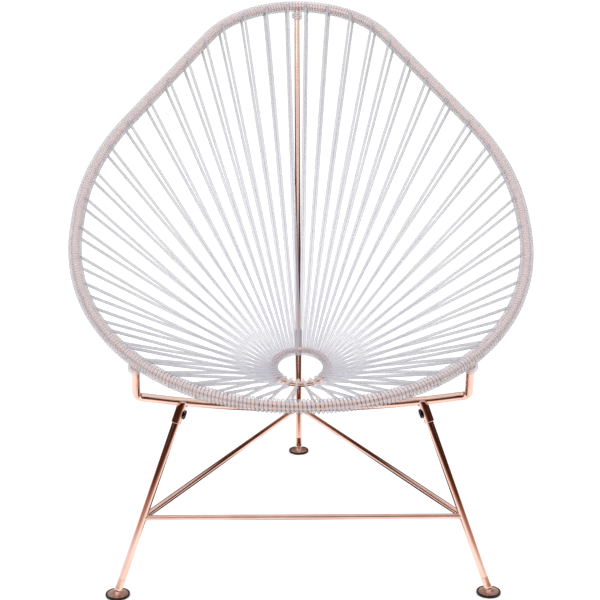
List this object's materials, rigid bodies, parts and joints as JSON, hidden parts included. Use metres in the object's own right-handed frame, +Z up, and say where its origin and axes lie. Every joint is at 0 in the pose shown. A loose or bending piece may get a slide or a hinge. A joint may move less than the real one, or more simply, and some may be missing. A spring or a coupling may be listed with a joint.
{
  "type": "acapulco lounge chair",
  "caption": "Outdoor lounge chair: tilted pear-shaped hoop wound with clear vinyl cords that run to a small centre ring, on a three-legged welded copper base with swivel glides.",
  "frame": {"origin": "on the floor, under the middle of the whole chair's box", "axes": "+Z up, the sitter faces -Y, +X to the right of someone who looks along +Y at the chair's front"},
  "size_m": [0.7452, 0.9377, 0.8268],
  "materials": {
    "copper_plating": "polished copper-plated steel",
    "clear_cord": "clear extruded vinyl, glossy",
    "black_rubber": "moulded, matt",
    "black_bolt": "black oxide",
    "dark_steel": "turned, darkened"
  },
  "bodies": {
    "chair": {"rim_hoop": "copper_plating", "arm_bar": "copper_plating", "centre_ring": "copper_plating", "back_spine": "copper_plating", "right_leg_socket": "copper_plating", "left_leg_socket": "copper_plating", "rear_leg_socket": "copper_plating", "front_right_leg": "copper_plating", "front_left_leg": "copper_plating", "rear_leg": "copper_plating", "front_stretcher": "copper_plating", "right_brace": "copper_plating", "left_brace": "copper_plating", "right_socket_bolt": "black_bolt", "left_socket_bolt": "black_bolt", "rear_socket_bolt": "black_bolt", "top_joint_winding": "clear_cord", "right_arm_winding": "clear_cord", "left_arm_winding": "clear_cord", "right_cord_sector_01": "clear_cord", "right_cord_sector_02": "clear_cord", "right_cord_sector_03": "clear_cord", "right_cord_sector_04": "clear_cord", "right_cord_sector_05": "clear_cord", "right_cord_sector_06": "clear_cord", "right_cord_sector_07": "clear_cord", "right_cord_sector_08": "clear_cord", "left_cord_sector_01": "clear_cord", "left_cord_sector_02": "clear_cord", "left_cord_sector_03": "clear_cord", "left_cord_sector_04": "clear_cord", "left_cord_sector_05": "clear_cord", "left_cord_sector_06": "clear_cord", "left_cord_sector_07": "clear_cord", "left_cord_sector_08": "clear_cord", "front_right_ball_stud": "dark_steel", "front_left_ball_stud": "dark_steel", "rear_ball_stud": "dark_steel", "front_right_foot_ferrule": "copper_plating", "front_left_foot_ferrule": "copper_plating", "rear_foot_ferrule": "copper_plating"},
    "front_right_glide": {"front_right_glide_pad": "black_rubber", "front_right_glide_cup": "copper_plating"},
    "front_left_glide": {"front_left_glide_pad": "black_rubber", "front_left_glide_cup": "copper_plating"},
    "rear_glide": {"rear_glide_pad": "black_rubber", "rear_glide_cup": "copper_plating"}
  },
  "joints": [
    {"name": "front_right_glide_tilt", "type": "hinge", "parent": "chair", "child": "front_right_glide", "pos_m": [0.282, -0.40041, 0.0064], "axis": [1, 0, 0], "range_deg": [-12, 12]},
    {"name": "front_left_glide_tilt", "type": "hinge", "parent": "chair", "child": "front_left_glide", "pos_m": [-0.282, -0.40041, 0.0064], "axis": [1, 0, 0], "range_deg": [-12, 12]},
    {"name": "rear_glide_tilt", "type": "hinge", "parent": "chair", "child": "rear_glide", "pos_m": [0, 0.1806, 0.0064], "axis": [1, 0, 0], "range_deg": [-12, 12]}
  ]
}
